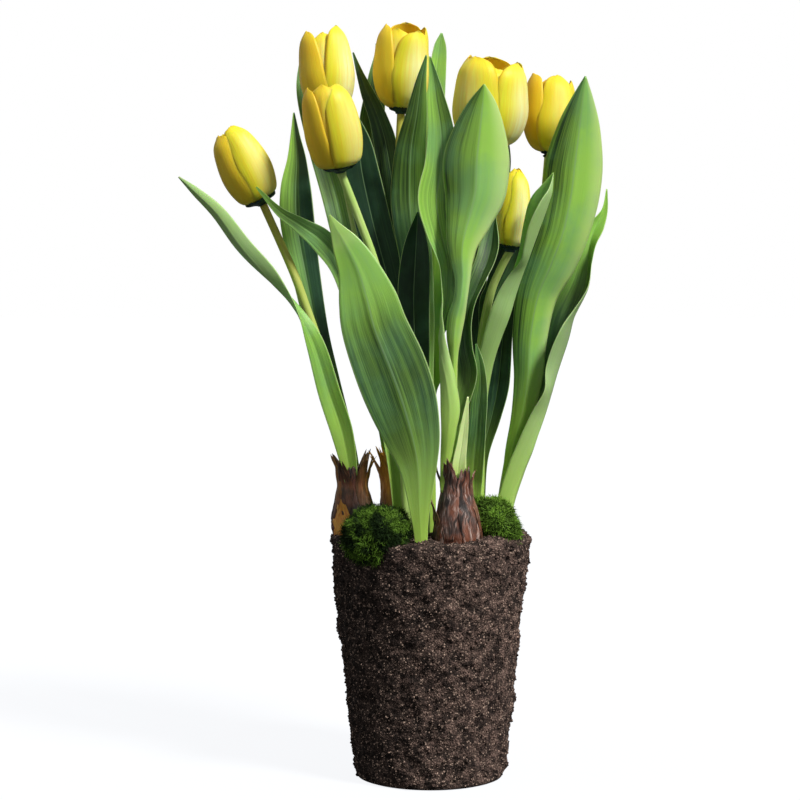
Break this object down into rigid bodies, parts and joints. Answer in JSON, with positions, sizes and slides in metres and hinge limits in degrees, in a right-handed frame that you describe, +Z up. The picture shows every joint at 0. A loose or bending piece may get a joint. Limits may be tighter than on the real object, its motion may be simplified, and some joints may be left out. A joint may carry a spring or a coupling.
{
  "type": "tulip clump in soil block",
  "caption": "Clump of flowering tulips with strap leaves and exposed bulbs, standing in a bare tapered block of potting soil with moss; stands on its flat foot.",
  "frame": {"origin": "centre of the soil block's flat underside", "axes": "+Z up, -Y towards the front of the clump, +X to the right seen from the front"},
  "size_m": [0.3094, 0.146, 0.5512],
  "materials": {
    "soil": "crumbly dark brown potting soil with tan fibres, fully matte",
    "moss": "deep green cushion moss with yellow-green tufts, matte",
    "bulb": "dry papery red-brown tunic with pale fibres and torn golden edges",
    "leaf": "waxy mid green blade with parallel veins, paler underneath",
    "stem": "smooth pale yellow-green stem, satin",
    "cap": "dark blue-green cup under the petals, satin",
    "petal": "bright yellow petals with ochre shading and fine lengthwise veins, satin"
  },
  "bodies": {
    "root": {"soil_block": "soil", "moss_front_left": "moss", "moss_right": "moss", "bulb_left": "bulb", "bulb_middle": "bulb", "bulb_front": "bulb", "leaf_left_drooping": "leaf", "leaf_left_upright": "leaf", "leaf_left_arching": "leaf", "leaf_front_broad": "leaf", "leaf_left_back": "leaf", "leaf_center_left_dark": "leaf", "leaf_back_left_pointed": "leaf", "leaf_back_left_far": "leaf", "leaf_center_upright": "leaf", "leaf_center_twisting": "leaf", "leaf_center_broad": "leaf", "leaf_center_right_dark": "leaf", "leaf_right_pale": "leaf", "leaf_front_right_narrow": "leaf", "leaf_right_dark": "leaf", "leaf_right_broad": "leaf", "leaf_right_twisting": "leaf", "leaf_back_tall": "leaf", "leaf_back_right": "leaf", "leaf_center_dark": "leaf", "leaf_bud_sheath": "leaf", "leaf_neck_pale": "leaf", "stem_far_left": "stem", "cap_far_left": "cap", "bloom_far_left": "petal", "stem_upper_left": "stem", "cap_upper_left": "cap", "bloom_upper_left": "petal", "stem_front_left": "stem", "cap_front_left": "cap", "bloom_front_left": "petal", "stem_top": "stem", "cap_top": "cap", "bloom_top": "petal", "stem_center": "stem", "cap_center": "cap", "bloom_center": "petal", "stem_right": "stem", "cap_right": "cap", "bloom_right": "petal", "stem_bud": "stem", "cap_bud": "cap", "bloom_bud": "petal"}
  },
  "joints": []
}
